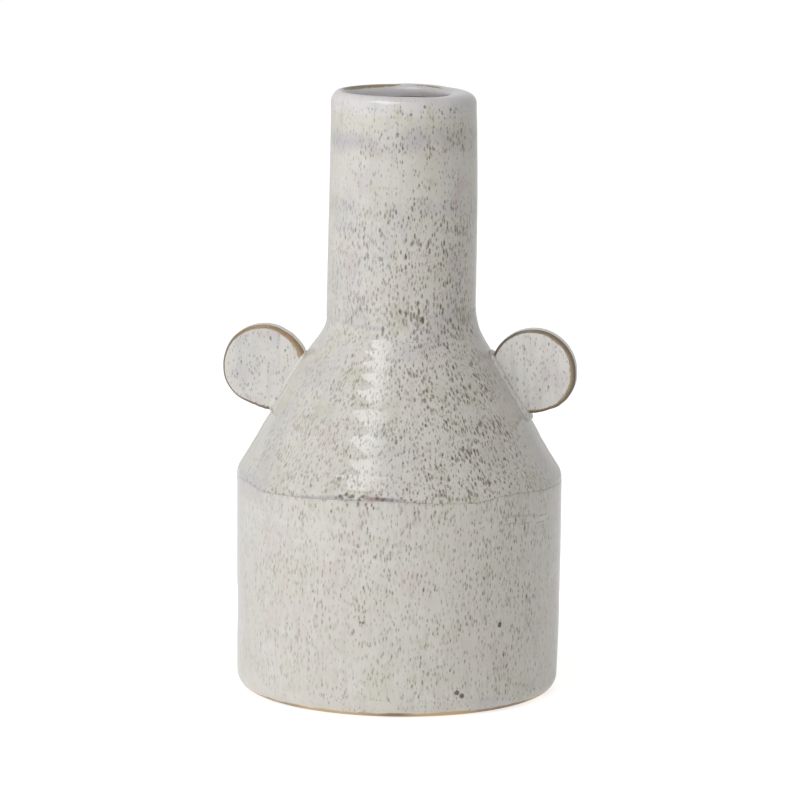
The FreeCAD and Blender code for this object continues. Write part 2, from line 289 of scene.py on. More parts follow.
def turnedPiece(name, settings, material):
    # corners run round the outline: radius, height, rounding, longest step on the way to the next corner
    corners = settings["corners"]
    shape = bmesh.new()
    dots = [shape.verts.new((corner[0], 0, corner[1])) for corner in corners]
    for index, dot in enumerate(dots):
        shape.edges.new((dots[index - 1], dot))
    for index, corner in enumerate(corners):
        if corner[2]:
            bmesh.ops.bevel(shape, geom=[dots[index]], offset=roundTrim(corners, index), offset_type="OFFSET",
                            segments=settings.get("roundSteps", turning["roundSteps"]), profile=0.5,
                            affect="VERTICES", clamp_overlap=True, material=-1)
    for side in shape.edges[:]:
        cuts = math.ceil(side.calc_length() / stepOf(corners, side)) - 1
        if cuts > 0:
            bmesh.ops.subdivide_edges(shape, edges=[side], cuts=cuts)
    bmesh.ops.spin(shape, geom=shape.verts[:] + shape.edges[:], cent=(0, 0, 0), axis=(0, 0, 1),
                   dvec=(0, 0, 0), angle=math.tau, steps=turning["steps"], use_merge=True,
                   use_duplicate=False)
    bmesh.ops.remove_doubles(shape, verts=shape.verts[:], dist=turning["weld"])
    bmesh.ops.recalc_face_normals(shape, faces=shape.faces[:])
    if "shaping" in settings:
        settings["shaping"](shape)
    flow = shape.verts.layers.float_vector.new("flow")
    spread = settings.get("flowRadius", body["baseRadius"])
    for dot in shape.verts:
        angle = math.atan2(dot.co.y, dot.co.x)
        dot[flow] = Vector((math.cos(angle) * spread, math.sin(angle) * spread, upTheWall(dot.co.z)))
        dot.co = handShape(dot.co)
    return newPiece(name, shape, material)


def roundTrim(corners, index):
    # how much of both sides a rounding takes
    here = Vector(corners[index][:2])
    back = Vector(corners[index - 1][:2]) - here
    ahead = Vector(corners[(index + 1) % len(corners)][:2]) - here
    return corners[index][2] / math.tan(back.angle(ahead) / 2)


def stepOf(corners, side):
    # longest step allowed on the side of the outline that an edge lies on
    middle = (side.verts[0].co + side.verts[1].co) / 2
    for index, corner in enumerate(corners):
        ahead = corners[(index + 1) % len(corners)]
        start = Vector((corner[0], 0, corner[1]))
        way = Vector((ahead[0] - corner[0], 0, ahead[1] - corner[1]))
        if (middle - start).cross(way.normalized()).length < turning["onSide"]:
            return corner[3]
    return turning["roundStep"]


# Materials
def colour(hexCode, alpha=1.0):
    parts = [int(hexCode[place:place + 2], 16) / 255 for place in (1, 3, 5)]
    return [part / 12.92 if part <= 0.04045 else ((part + 0.055) / 1.055) ** 2.4 for part in parts] + [alpha]


def addNode(tree, kind, inputs=None, **settings):
    # an input is a value, a socket or a node, which stands for its first output
    node = tree.nodes.new("ShaderNode" + kind)
    for name, value in settings.items():
        setattr(node, name, value)
    for socket, value in (inputs or {}).items():
        if isinstance(value, bpy.types.Node):
            value = value.outputs[0]
        if isinstance(value, bpy.types.NodeSocket):
            tree.links.new(value, node.inputs[socket])
        else:
            node.inputs[socket].default_value = value
    return node


def newMaterial(name):
    material = bpy.data.materials.new(name)
    material.use_nodes = True
    tree = material.node_tree
    tree.nodes.clear()
    return material, tree


# Satin-gloss reactive stoneware glaze: a warm off-white that breaks into lavender, green-yellow and pink
# clouds, with iron specks that ran a little on the way down. Sizes are millimetres.
glazeLook = {
    "base": "#D5D0C6",
    "roughness": 0.03,
    "ior": 1.52,
    "skin": {"size": 1.8, "specks": -0.5, "strength": 0.1, "depth": 0.03},    # relief, sunk at the specks
    "flowRadius": body["baseRadius"],      # runs and specks are drawn on a cylinder of this radius
    "clouds": (              # colour, size, where the cloud starts and is full, strength
        ("#BCBAC0", 26, 0.50, 0.68, 0.35),
        ("#CAC7B0", 17, 0.54, 0.68, 0.35),
        ("#CDBDB6", 20, 0.55, 0.70, 0.4),
        ("#D9D6CF", 10, 0.50, 0.66, 0.4),
    ),
    "cloudShift": Vector((3.7, 2.22, 1.11)),    # each cloud is moved on by this, to be unlike the others
    "streaks": ("#BEBBB2", 2.2, 9.0, 0.48, 0.72, 0.35),   # colour, width, stretch, rest as clouds
    "bands": (),             # height, half width, softness, colour, strength
    "bandGaps": (18, 0.42, 0.58, 0.2),   # size, where they start and end, share of the band that is left
    "wander": (14, 7.0),     # length and height of the waves in the edges of bands and zones
    "crowding": ((1.0, ((0, 0.6), (260, 0.6))),),   # scale round the axis, heights: 0 no specks, 1 crowded
    "patches": (11, 0.32, 0.68, 0.3),           # crowds of specks: size, where they start and end, amount
    "specks": (              # colours, spacing, length over width, radius share, softness, strength
        ("#7D795F", "#7A7060", 1.08, 2.4, 0.37, 0.13, 0.80),
        ("#645E45", "#605342", 2.1, 2.2, 0.21, 0.09, 0.85),
        ("#A09B82", "#9C9284", 0.85, 2.2, 0.36, 0.14, 0.45),
    ),
    "speckShift": 11.3,      # each kind is moved on by this
    "fray": (1.3, 0.7, (0.8, 0.8, 0.4)),    # waves in a millimetre of the frayed edges, roughness, depth
    "speckShy": 0.26,        # radius share that a speck loses in a bare zone
    "speckBare": 0.08,       # crowding under which they fade away
    "speckSizes": 0.11,      # radius share by which they differ
    "speckFaint": 0.45,      # strength of the faintest, as a share
    "fade": 0.5,             # strength of the specks on the lit side: painted light that washes them out
    "shadeFade": 1.4,        # and on the shaded side: painted shade that deepens them
    "sideFade": 0.45,        # and towards both sides, left and right
    "fadeEnds": (-0.9, 0.6, 0.86),   # shares of the radius: light's side, shade's side, start of both sides
    "stains": (),            # pixels, half width, half height, colour, strength, softness, raggedness
    "seamLine": None,        # height, half width, colour, strength: glaze that pooled in the seam's groove
    "inside": None,          # radius, softness, colour, strength: painted shade inside the mouth, darker and lilac
    "edges": None,           # pale, dark, redder and ashen browns, where the glaze ran thin off an edge
    "foot": None,            # height of the glaze's end over the bare clay, the clay's two colours
}
seamPool = {"gapSize": 9, "gaps": (0.45, 0.6), "line": (1.7, 0.5)}    # line: start and full, in half widths
edgeBreak = {
    "crumb": (1.6, 0.9),             # size of the crumbled outline and how far it moves
    "brown": (1.6, 1.25, 0.92),      # start and full, in break widths from the edge, strength
    "core": (1.1, 0.6, 0.85),        # the same for the darker core
    "redder": (0.52, 0.66, 0.55),    # start, full and strength of the redder patches
    "redderSize": 7,
    "ashen": (0.95, 0.5, 0.6),       # start, full and strength of the ash where the break is narrow
    "pits": (0.54, 0.66, 0.6),       # the same of the ashen pits in it
}
footLine = {"waveSize": 9, "waveDrop": -2.2, "end": (-0.85, -1.3), "toneSize": 34, "tone": (0.4, 0.6)}


def glaze(name, look):
    # each layer takes the colour under it and gives back the colour with its own marks
    settings = dict(glazeLook, **look)
    material, tree = newMaterial(name)
    field = glazeField(tree, settings)
    shade = layClouds(tree, settings, field, colour(settings["base"]))
    shade = layBands(tree, settings, field, shade)
    shade, dents = laySpecks(tree, settings, field, shade)
    shade = layStains(tree, settings, field, shade)
    for layer, lay in (("seamLine", laySeamLine), ("inside", layMouthShade), ("edges", layEdges),
                       ("foot", layFoot)):
        if settings[layer]:
            shade = lay(tree, settings[layer], field, shade)
    skin = settings["skin"]
    grain = addNode(tree, "TexNoise", {"Vector": field["place"], "Scale": 1 / (skin["size"] * mm),
                                       "Detail": 2.0})
    swell = addNode(tree, "Math", {0: dents, 1: skin["specks"], 2: grain}, operation="MULTIPLY_ADD")
    relief = addNode(tree, "Bump", {"Height": swell, "Strength": skin["strength"],
                                    "Distance": skin["depth"] * mm})
    surface = addNode(tree, "BsdfPrincipled", {"Base Color": shade, "Roughness": settings["roughness"],
                                               "IOR": settings["ior"], "Normal": relief})
    addNode(tree, "OutputMaterial", {"Surface": surface})
    return material


def glazeField(tree, settings):
    # what the layers read: places on the piece and along the flow, and the noise that frays their edges
    flow = addNode(tree, "Attribute", attribute_name="flow").outputs["Vector"]
    parts = addNode(tree, "SeparateXYZ", {0: flow})
    height = parts.outputs["Z"]
    length, rise = settings["wander"]
    wander = addNode(tree, "TexNoise", {"Vector": flow, "Scale": 1 / length, "Detail": 2.0})
    often, roughness, _ = settings["fray"]
    return {
        "flow": flow,
        "place": addNode(tree, "TexCoord").outputs["Object"],
        "sideways": parts.outputs["X"],
        "height": height,
        "wandered": addNode(tree, "Math", {0: wander, 1: rise, 2: height}, operation="MULTIPLY_ADD"),
        "added": rise / 2,       # what the waves add to a height in the middle
        "ragged": addNode(tree, "TexNoise", {"Vector": flow, "Scale": often, "Detail": 2.0,
                                             "Roughness": roughness}),
    }


def layOver(tree, under, over, value, start, full, strength=1.0, blend="SMOOTHSTEP"):
    # lays a colour over another, from none of it at one value of a pattern to all at the other, with its mask
    mask = addNode(tree, "MapRange", {"Value": value, "From Min": start, "From Max": full,
                                      "To Max": strength}, interpolation_type=blend)
    over = colour(over) if isinstance(over, str) else over
    return addNode(tree, "Mix", {0: mask, 6: under, 7: over}, data_type="RGBA").outputs[2], mask


def gapTo(tree, value, level):
    # how far a height is from a level, over or under it
    away = addNode(tree, "Math", {0: value, 1: level}, operation="SUBTRACT")
    return addNode(tree, "Math", {0: away}, operation="ABSOLUTE")


def layClouds(tree, settings, field, shade):
    # soft clouds of colour and long pale streaks down the wall
    for number, (tint, size, start, full, strength) in enumerate(settings["clouds"], 1):
        shift = settings["cloudShift"] * number
        spot = addNode(tree, "Mapping", {"Vector": field["place"], "Location": shift})
        cloud = addNode(tree, "TexNoise", {"Vector": spot, "Scale": 1 / (size * mm), "Detail": 3.0,
                                           "Roughness": 0.55, "Distortion": 0.4})
        shade, _ = layOver(tree, shade, tint, cloud, start, full, strength)
    tint, width, stretch, start, full, strength = settings["streaks"]
    spot = addNode(tree, "Mapping", {"Vector": field["flow"], "Scale": (1, 1, 1 / stretch)})
    streak = addNode(tree, "TexNoise", {"Vector": spot, "Scale": 1 / width, "Detail": 2.0, "Roughness": 0.6})
    return layOver(tree, shade, tint, streak, start, full, strength)[0]


def layBands(tree, settings, field, shade):
    # bands left by the throwing rings, with wandering edges and gaps
    size, start, full, least = settings["bandGaps"]
    broken = addNode(tree, "TexNoise", {"Vector": field["flow"], "Scale": 1 / size, "Detail": 2.0})
    for level, half, soft, tint, strength in settings["bands"]:
        away = gapTo(tree, field["wandered"], upTheWall(level) + field["added"])
        deep = addNode(tree, "MapRange", {"Value": broken, "From Min": start, "From Max": full,
                                          "To Min": least * strength, "To Max": strength})
        shade, _ = layOver(tree, shade, tint, away, half + soft, half - soft, deep)
    return shade


def speckLightAndShadeFading(tree, settings, field):
    # specks: weaker on the lit side as painted light, stronger on the shaded side as painted shade, and weaker
    # towards both sides
    spread = settings["flowRadius"]
    light, dark, side = (share * spread for share in settings["fadeEnds"])
    speckLightShade = addNode(tree, "MapRange", {"Value": field["sideways"], "From Min": light, "From Max": dark,
                                       "To Min": settings["fade"], "To Max": settings["shadeFade"]})
    turned = addNode(tree, "Math", {0: field["sideways"]}, operation="ABSOLUTE")
    turned = addNode(tree, "MapRange", {"Value": turned, "From Min": side, "From Max": spread,
                                        "To Min": 1.0, "To Max": settings["sideFade"]})
    return addNode(tree, "Math", {0: speckLightShade, 1: turned}, operation="MULTIPLY")


def crowdingAt(tree, field, levels):
    # how crowded the specks are at each height
    marks = [(upTheWall(level), crowd) for level, crowd in levels]
    low, high = marks[0][0], marks[-1][0]
    share = addNode(tree, "MapRange", {"Value": field["wandered"], "From Min": low + field["added"],
                                       "From Max": high + field["added"]})
    ramp = addNode(tree, "ValToRGB", {"Fac": share})
    ramp.color_ramp.interpolation = "EASE"
    while len(ramp.color_ramp.elements) < len(marks):
        ramp.color_ramp.elements.new(0.5)
    for element, (level, crowd) in zip(ramp.color_ramp.elements, marks):
        element.position = (level - low) / (high - low)
        element.color = (crowd, crowd, crowd, 1)
    return ramp


def laySpecks(tree, settings, field, shade):
    # iron specks, crowded in some zones and sparse in others
    size, start, end, amount = settings["patches"]
    patch = addNode(tree, "TexNoise", {"Vector": field["flow"], "Scale": 1 / size, "Detail": 2.0})
    patchy = addNode(tree, "MapRange", {"Value": patch, "From Min": start, "From Max": end,
                                        "To Min": -amount, "To Max": amount})
    # speck strength by side: painted light on the lit side, painted shade on the shaded side
    speckLightShade = speckLightAndShadeFading(tree, settings, field)
    shift = settings["cloudShift"][0] * len(settings["clouds"])     # on from the clouds' places
    dents = None
    for wrap, levels in settings["crowding"]:
        zone = crowdingAt(tree, field, levels)
        crowd = addNode(tree, "Math", {0: zone, 1: patchy}, operation="ADD")
        shy = addNode(tree, "MapRange", {"Value": crowd, "To Min": settings["speckShy"], "To Max": 0},
                      clamp=False)
        full = addNode(tree, "MapRange", {"Value": zone, "From Max": settings["speckBare"]})
        for first, second, spacing, stretch, radius, soft, strength in settings["specks"]:
            shift += settings["speckShift"]
            spot = addNode(tree, "Mapping", {"Vector": field["flow"], "Location": (shift, 0, shift),
                                             "Scale": (wrap, wrap, 1 / stretch)})
            loose = addNode(tree, "VectorMath", {0: field["ragged"].outputs["Color"], 1: settings["fray"][2],
                                                 2: spot}, operation="MULTIPLY_ADD")
            cell = addNode(tree, "TexVoronoi", {"Vector": loose, "Scale": 1 / spacing, "Randomness": 1.0})
            chance = addNode(tree, "SeparateColor", {0: cell.outputs["Color"]})
            reach = addNode(tree, "Math", {0: cell.outputs["Distance"], 1: shy}, operation="ADD")
            reach = addNode(tree, "Math", {0: chance.outputs["Red"], 1: settings["speckSizes"], 2: reach},
                            operation="MULTIPLY_ADD")
            deep = addNode(tree, "MapRange", {"Value": chance.outputs["Green"], "To Max": strength,
                                              "To Min": settings["speckFaint"] * strength})
            for share in (full, speckLightShade):
                deep = addNode(tree, "Math", {0: deep, 1: share}, operation="MULTIPLY")
            tone = addNode(tree, "Mix", {0: chance.outputs["Blue"], 6: colour(first), 7: colour(second)},
                           data_type="RGBA").outputs[2]
            shade, mask = layOver(tree, shade, tone, reach, radius + soft, radius - soft, deep)
            dents = addNode(tree, "Math", {0: dents, 1: mask}, operation="MAXIMUM") if dents else mask
    return shade, dents


def layStains(tree, settings, field, shade):
    # single marks seen on the real one, each a group of spots with a frayed outline
    spread = settings["flowRadius"]
    for pixels, halfWidth, halfHeight, tint, strength, soft, rag in settings["stains"]:
        nearest = None
        for pixel in pixels:
            angle, level = onBody(pixel)
            centre = (math.cos(angle) * spread, math.sin(angle) * spread, upTheWall(level))
            away = addNode(tree, "VectorMath", {0: field["flow"], 1: centre}, operation="SUBTRACT")
            away = addNode(tree, "VectorMath", {0: away, 1: (1 / halfWidth, 1 / halfWidth, 1 / halfHeight)},
                           operation="MULTIPLY")
            away = addNode(tree, "VectorMath", {0: away}, operation="LENGTH").outputs["Value"]
            nearest = addNode(tree, "Math", {0: nearest, 1: away}, operation="MINIMUM") if nearest else away
        frayed = addNode(tree, "Math", {0: field["ragged"], 1: rag, 2: nearest}, operation="MULTIPLY_ADD")
        limit = 1 + 0.5 * rag
        shade, _ = layOver(tree, shade, tint, frayed, limit + soft, limit - soft, strength)
    return shade


def laySeamLine(tree, line, field, shade):
    # the glaze pooled in the seam's groove, here and there
    level, half, tint, strength = line
    gaps = addNode(tree, "TexNoise", {"Vector": field["flow"], "Scale": 1 / seamPool["gapSize"],
                                      "Detail": 3.0})
    start, full = seamPool["gaps"]
    deep = addNode(tree, "MapRange", {"Value": gaps, "From Min": start, "From Max": full,
                                      "To Max": strength})
    away = gapTo(tree, field["height"], upTheWall(level))
    return layOver(tree, shade, tint, away, *(half * share for share in seamPool["line"]), deep)[0]


def layMouthShade(tree, mouthShading, field, shade):
    # painted shade inside the mouth: darker there, and lilac
    radius, soft, tint, strength = mouthShading
    away = addNode(tree, "VectorMath", {0: field["place"], 1: (1, 1, 0)}, operation="MULTIPLY")
    away = addNode(tree, "VectorMath", {0: away}, operation="LENGTH").outputs["Value"]
    return layOver(tree, shade, tint, away, (radius + soft) * mm, (radius - soft) * mm, strength)[0]


def layEdges(tree, tints, field, shade):
    # brown breaks along the edges: crumbled outlines, a darker core, redder patches and ash
    pale, dark, redder, ashen = tints
    gap = addNode(tree, "Attribute", attribute_name="breakGap").outputs["Fac"]
    width = addNode(tree, "Attribute", attribute_name="breakWidth").outputs["Fac"]
    size, rag = edgeBreak["crumb"]
    crumb = addNode(tree, "TexNoise", {"Vector": field["place"], "Scale": 1 / (size * mm), "Detail": 3.0,
                                       "Roughness": 0.6})
    share = addNode(tree, "Math", {0: gap, 1: width}, operation="DIVIDE")
    share = addNode(tree, "Math", {0: crumb, 1: rag, 2: share}, operation="MULTIPLY_ADD")
    warm = addNode(tree, "TexNoise", {"Vector": field["place"], "Scale": 1 / (edgeBreak["redderSize"] * mm),
                                      "Detail": 2.0})
    tone, _ = layOver(tree, colour(pale), dark, share, *edgeBreak["core"])
    for tint, value, part in ((redder, warm, "redder"), (ashen, width, "ashen"), (ashen, crumb, "pits")):
        tone, _ = layOver(tree, tone, tint, value, *edgeBreak[part], "LINEAR")
    return layOver(tree, shade, tone, share, *edgeBreak["brown"])[0]


def layFoot(tree, foot, field, shade):
    # bare tan iron-bearing clay, darker in places, where the glaze was wiped off before the firing
    level, tint, darker = foot
    edge = addNode(tree, "TexNoise", {"Vector": field["place"], "Scale": 1 / (footLine["waveSize"] * mm),
                                      "Detail": 3.0, "Roughness": 0.6})
    waved = addNode(tree, "Math", {0: edge, 1: footLine["waveDrop"], 2: field["height"]},
                    operation="MULTIPLY_ADD")
    side = addNode(tree, "TexNoise", {"Vector": field["place"], "Scale": 1 / (footLine["toneSize"] * mm),
                                      "Detail": 2.0})
    tone, _ = layOver(tree, colour(tint), darker, side, *footLine["tone"], blend="LINEAR")
    return layOver(tree, shade, tone, waved, *(level + drop for drop in footLine["end"]))[0]


wallLook = {
    "flowRadius": body["baseRadius"],
    "crowding": ((1.0, ((0, 0.65), (30, 0.75), (60, 0.8), (89, 0.85))),),
    "fade": 0.6,
    "clouds": (("#C3C0C2", 24, 0.54, 0.72, 0.25), ("#CCCAB6", 16, 0.52, 0.68, 0.45),
               ("#CFC0B8", 20, 0.55, 0.70, 0.4), ("#DCD9D2", 10, 0.50, 0.66, 0.4)),
    "specks": (
        ("#8C8870", "#877D6C", 1.12, 2.8, 0.38, 0.16, 0.74),
        ("#746D58", "#6E6050", 2.2, 2.4, 0.22, 0.10, 0.85),
        ("#A8A48C", "#A39A8A", 1.4, 3.6, 0.40, 0.20, 0.35),
    ),
    "bands": ((78, 1.2, 1.0, "#DDDBD4", 0.45), (70.5, 1.0, 0.9, "#DDDBD4", 0.4),
              (65, 1.2, 1.0, "#DDDBD4", 0.35)),
    "seamLine": (89, 0.8, "#9A969C", 0.28),
    "stains": (              # lilac at the far left, three iron spots, specks under the seam, and two grooves under it drawn as painted shade
        (((242, 488), (248, 491), (256, 494)), 5.0, 3.2, "#B9B6B9", 0.38, 0.9, 1.2),
        (((500, 624), (499.8, 625.5)), 0.9, 0.8, "#4E4236", 0.92, 0.35, 0.9),
        (((457, 693), (462, 696)), 1.1, 1.0, "#634A42", 0.9, 0.25, 0.6),
        (((360, 622.5), (362.5, 623)), 0.5, 0.55, "#7A5A4C", 0.75, 0.4, 0.9),
        (((367, 510), (371.5, 507), (373.5, 510), (366, 506.5), (347, 506.5), (331, 512)), 0.4, 0.7,
         "#6A5A4C", 0.75, 0.5, 1.0),
        # two short grooves drawn only as darker lines: painted shade, with no relief
        (((515, 517), (528, 516), (543, 515), (511, 524), (525, 523.5), (540, 522)), 3.4, 0.35, "#A7A39C",
         0.6, 0.5, 0.5),
    ),
}
wallGlaze = glaze("speckledGlazeWall", wallLook)
coneLook = {
    "flowRadius": 50.0,
    "crowding": ((1.17, ((88, 1.0), (118, 1.1), (126, 0.0), (154, 0.0))),
                 (0.8, ((88, 0.0), (118, 0.0), (126, 1.1), (154, 1.0)))),
    "clouds": glazeLook["clouds"] + (("#BDB9A0", 14, 0.52, 0.68, 0.3),),
    "seamLine": (89, 0.6, "#9A969C", 0.35),
    "sideFade": 0.15,
    "stains": (              # lilac, reddish and dark glaze and crowded specks along the seam
        (((307, 497.6), (315, 498.2), (324, 498.6), (332, 498.6)), 3.2, 0.8, "#A7A0A3", 0.6, 0.7, 1.2),
        (((371.5, 501), (377, 501.5), (384, 502)), 2.0, 0.8, "#96736B", 0.75, 0.6, 1.6),
        (((388, 501.5), (394, 502)), 2.4, 0.6, "#8F8790", 0.6, 0.6, 1.6),
        (((243, 479), (248, 482.5), (254, 485.5)), 5.0, 2.6, "#B3AFB5", 0.42, 0.9, 1.2),
        (((246.5, 481.5), (250, 484), (254, 486)), 0.8, 0.7, "#98949A", 0.55, 0.6, 1.6),
        (((264, 489.5), (268.5, 491), (272, 488), (275.5, 491), (283, 493.5), (292, 494)), 0.55, 0.8,
         "#8A8679", 0.6, 0.6, 1.8),
        (((340, 497.5), (346, 496), (352, 498), (359, 501.5), (363, 498.5), (377, 500.5), (382.5, 502)),
         0.62, 0.75, "#5C5548", 0.8, 0.6, 1.8),
        (((342, 500), (349, 499), (336, 499), (392, 503), (401, 500.5), (405, 502), (411, 501), (415, 503)),
         0.42, 0.6, "#665D50", 0.75, 0.6, 1.8),
        (((381.5, 496.5), (430, 489), (434, 488.5), (376, 497)), 0.34, 0.4, "#8A4A44", 0.6, 0.6, 1.0),
    ),
}
coneGlaze = glaze("speckledGlazeShoulder", coneLook)
# green-yellow runs under the lip and a few dark specks
drips = (
    (((398, 112), (411, 118), (429, 108), (433, 116), (341, 118)), 0.8, 3.2, "#BFBB98", 0.45, 0.8, 0.9),
    (((411, 113), (425, 104), (451, 106)), 0.55, 0.7, "#6E6253", 0.8, 0.5, 0.9),
)
neckLook = {
    "flowRadius": body["neckSeamRadius"],
    "specks": (
        ("#7F7B64", "#7D7364", 1.12, 2.5, 0.41, 0.16, 0.80),
        ("#645E45", "#605342", 2.3, 2.3, 0.22, 0.10, 0.88),
        ("#9F9A84", "#9C9286", 0.9, 2.6, 0.36, 0.14, 0.45),
    ),
    "crowding": ((1.0, ((154, 1.0), (203, 0.95), (210, 0.45), (224, 0.4), (228, 0.85), (234, 0.8),
                        (238, 0.55), (250, 0.55))),),
    "bands": ((230.5, 4.2, 3.4, "#B9B6B8", 0.48), (215, 7.5, 3.0, "#D5D1C8", 0.4),
              (239, 4.0, 2.0, "#D3D0C0", 0.35), (203, 3.0, 2.0, "#BEBBBD", 0.3),
              (158, 2.5, 2.0, "#C6BFBC", 0.3)),
    "stains": (              # pooled glaze at the neck's foot, patches of lilac, grey and pink, green runs
        (((330, 317.5), (337, 320), (345, 322.5), (353, 325), (361, 326.5), (370, 327.5), (377, 328)),
         2.0, 0.85, "#A9ABB0", 0.42, 0.9, 1.2),
        (((334, 139), (341, 140), (348, 141.5), (355, 143)), 3.4, 1.7, "#ABA8AE", 0.26, 1.0, 1.2),
        (((411, 134), (418, 133), (424, 137), (417, 141)), 3.6, 2.8, "#AAA6AC", 0.32, 1.0, 1.2),
        (((441, 135), (449, 138), (460, 136)), 3.6, 3.6, "#AEABA0", 0.4, 0.9, 1.0),
        (((458, 192), (455, 199), (462, 186)), 2.0, 2.6, "#C9B3AD", 0.5, 0.8, 1.0),
        (((395, 308), (398, 318), (402, 326), (394, 332), (433, 183)), 1.5, 2.0, "#B0AB8E", 0.35, 0.8, 1.2),
    ) + drips,
    # painted shade on the neck's inner wall, darker and lilac
    "inside": (26.5, 1.2, "#BDB6B9", 0.5),
}
neckGlaze = glaze("speckledGlazeNeck", neckLook)
lipLook = {
    "flowRadius": body["neckSeamRadius"],
    "base": "#DBD6D2",
    "specks": neckLook["specks"],
    "crowding": ((1.0, ((240, 0.55), (244.5, 0.5), (247, 0.04), (260, 0.06))),),
    "stains": drips,
    # painted shade on the lip's inner face, darker and lilac
    "inside": (23.2, 1.2, "#BDB6B9", 0.5),
    "edges": ("#8E8263", "#6F6347", "#9C6F4F", "#A07A55"),
}
lipGlaze = glaze("glazeLip", lipLook)
earLook = {
    "base": "#DCD8D1",
    "crowding": ((1.0, ((100, 0.7), (160, 0.7))),),
    "fade": 1.0,
    "shadeFade": 1.0,
    "sideFade": 1.0,
    "specks": (
        ("#878374", "#81776B", 1.2, 2.4, 0.36, 0.11, 0.8),
        ("#6A6452", "#675A4C", 2.5, 2.2, 0.22, 0.08, 0.95),
    ),
    "edges": ("#AE9468", "#86704A", "#A97C55", "#635B55"),
    "clouds": (("#C3C0C6", 14, 0.5, 0.68, 0.35), ("#CFBFBD", 15, 0.52, 0.68, 0.45),
               ("#D6D3C8", 9, 0.5, 0.66, 0.5)),
}
# the right ear's brown edge break, made darker as painted shade on the ear away from the light
rightEarShadedLook = dict(earLook, edges=("#9A835E", "#66543E", "#A06647", "#4E4640"))
earGlazes = {
    "left": glaze("speckledGlazeLeftEar", earLook),
    "right": glaze("speckledGlazeRightEarShaded", rightEarShadedLook),
}
insideLook = {"flowRadius": 40.0, "crowding": ((1.0, ((0, 0.3), (260, 0.3))),), "base": "#B3ADAD"}
insideGlaze = glaze("glazeInside", insideLook)
footLook = {
    "flowRadius": body["baseRadius"],
    "crowding": ((1.0, ((-5, 0.5), (10, 0.5))),),
    "foot": (2.2, "#C9AC80", "#967A5A"),
}
footGlaze = glaze("speckledGlazeFoot", footLook)
print("materials made")


# Turned pieces. Corners that two or more of them share, each a radius and a height:
inside = body["innerRadius"]
footOut = (body["baseRadius"], body["footHeight"])
footIn = (inside, body["footHeight"])
floorEdge = (inside, body["floorTop"])
seamOut = (body["shoulderRadius"], body["seamHeight"])
seamIn = (inside, body["seamHeight"])
slopeIn = (inside, body["shoulderInnerEdge"])
neckSeam = (body["neckSeamRadius"], body["neckSeamHeight"])
neckSeamIn = (body["neckInnerRadius"], body["neckSeamHeight"])
lipSeam = (body["neckTopRadius"], body["lipBase"])
lipSeamIn = (body["neckInnerRadius"], body["lipBase"])
footInside = body["baseRadius"] - body["footWidth"]
seamRound = 0.25     # on both edges of the seam, which makes its groove
pieces = {}
pieces["foot_ring"] = turnedPiece("footRing", {
    "flowRadius": footLook["flowRadius"],
    "roundSteps": 10,
    "corners": ((footInside, 0, body["footInnerRound"], 3), (body["baseRadius"], 0, body["footRound"], 1),
                (*footOut, 0, 4), (footInside, body["footHeight"], 0, 3)),
}, footGlaze)
pieces["floor_slab"] = turnedPiece("floorSlab", {
    "corners": ((0, body["footHeight"], 0, 6), (*footIn, 0, 8), (*floorEdge, 0, 6),
                (0, body["floorTop"], 0, 8)),
}, insideGlaze)
pieces["lower_wall"] = turnedPiece("lowerWall", {
    "flowRadius": wallLook["flowRadius"],
    "roundSteps": 3,
    "corners": ((*footIn, 0, 8), (*footOut, 0, 1.3), (*seamOut, seamRound, 3), (*seamIn, 0, 4)),
}, wallGlaze)
pieces["shoulder_cone"] = turnedPiece("shoulderCone", {
    "flowRadius": coneLook["flowRadius"],
    "corners": ((*seamIn, 0, 8), (*seamOut, seamRound, 1),
                (body["shoulderRadius"], body["shoulderHeight"], body["shoulderRound"], 0.6),
                (*neckSeam, 0, 4), (*neckSeamIn, 0, 4), (*slopeIn, 0, 4)),
}, coneGlaze)
pieces["neck_tube"] = turnedPiece("neckTube", {
    "flowRadius": neckLook["flowRadius"],
    "corners": ((*neckSeamIn, 0, 8), (*neckSeam, 0, 1.2), (*lipSeam, 0, 4), (*lipSeamIn, 0, 3)),
}, neckGlaze)


lip = {
    "outerRound": 4.6,
    "innerRound": 3.6,
    "undercut": 245.2,          # height under which the mouth widens to the neck
    "crest": (23.6, 249.3),     # radius and height of the mouth's upper edge
    # angle, and width of the brown break there: thick at the back left and thin at the back right
    "break": ((-180, 0.05), (0, 0.05), (35, 0.3), (55, 0.6), (75, 0.55), (90, 0.3), (106, 1.0), (120, 1.4),
              (150, 1.5), (165, 1.0), (178, 0.1), (180, 0.05)),
}


def markLip(shape):
    # where the glaze breaks brown along the inner edge of the mouth
    gap = shape.verts.layers.float.new("breakGap")
    width = shape.verts.layers.float.new("breakWidth")
    radius, height = lip["crest"]
    for dot in shape.verts:
        dot[gap] = math.hypot(math.hypot(dot.co.x, dot.co.y) - radius, dot.co.z - height)
        dot[width] = along(lip["break"], math.degrees(math.atan2(dot.co.y, dot.co.x)))


pieces["lip_coil"] = turnedPiece("lipCoil", {
    "flowRadius": lipLook["flowRadius"],
    "roundSteps": 9,
    "shaping": markLip,
    "corners": ((*lipSeamIn, 0, 3), (*lipSeam, 0, 0.8),
                (body["neckTopRadius"], body["totalHeight"], lip["outerRound"], 0.6),
                (body["mouthRadius"], body["totalHeight"], lip["innerRound"], 0.6),
                (body["mouthRadius"], lip["undercut"], 0, 1)),
}, lipGlaze)


